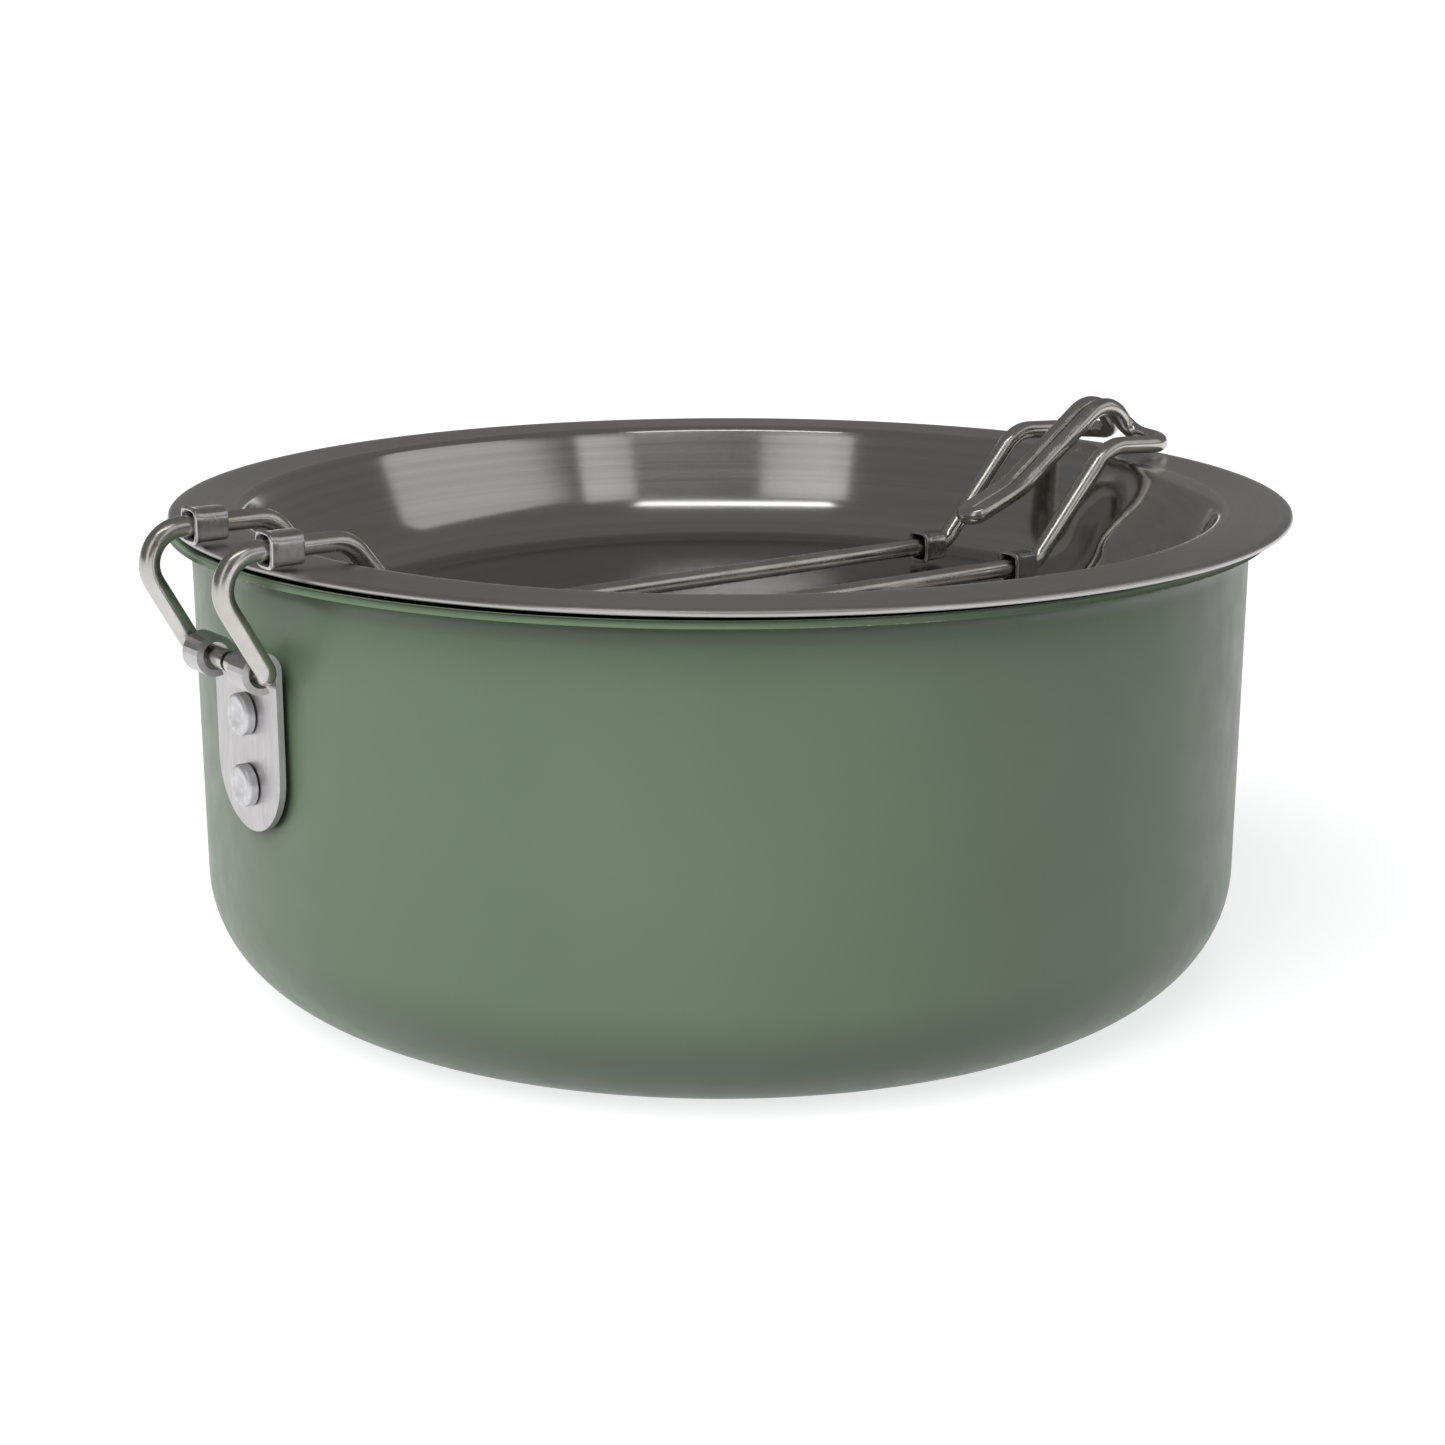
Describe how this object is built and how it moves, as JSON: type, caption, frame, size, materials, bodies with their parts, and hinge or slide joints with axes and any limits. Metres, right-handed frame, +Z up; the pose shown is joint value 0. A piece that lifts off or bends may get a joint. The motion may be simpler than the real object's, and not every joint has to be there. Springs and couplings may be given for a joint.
{
  "type": "camping pot with pan and folding handle",
  "caption": "Coated round camping pot with a steel pan nested in its mouth and a folding wire handle that swings over the rim to hold the pan down.",
  "frame": {"origin": "middle of the pot's base, on the plane it stands on", "axes": "+Z up along the pot's axis; -X towards the handle's bracket, so the stowed handle lies along X; Y across the handle"},
  "size_m": [0.2405, 0.23, 0.1099],
  "materials": {
    "pot_coat": "satin",
    "pan_steel": "polished, with fine turned lines",
    "bracket_steel": "satin",
    "wire_steel": "polished",
    "sleeve_steel": "polished",
    "rivet_aluminium": "matte"
  },
  "bodies": {
    "pot": {"pot_shell": "pot_coat", "handle_bracket": "bracket_steel", "rivet_upper": "rivet_aluminium", "rivet_lower": "rivet_aluminium"},
    "handle": {"leg_wire_left": "wire_steel", "run_wire_left": "wire_steel", "sleeve_outer_left": "sleeve_steel", "sleeve_inner_left": "sleeve_steel", "leg_wire_right": "wire_steel", "run_wire_right": "wire_steel", "sleeve_outer_right": "sleeve_steel", "sleeve_inner_right": "sleeve_steel", "loop_wire": "wire_steel"},
    "pan": {"pan_shell": "pan_steel"}
  },
  "joints": [
    {"name": "handle_swing", "type": "hinge", "parent": "pot", "child": "handle", "pos_m": [-0.1128, 0, 0.078], "axis": [0, -1, 0], "range_deg": [0, 162]},
    {"name": "pan_lift", "type": "slide", "parent": "pot", "child": "pan", "axis": [0, 0, 1], "range_m": [0, 0.0091]}
  ],
  "couplings": [
    {"joint": "pan_lift", "follows": "handle_swing", "m_per_rad": 0.0032}
  ]
}
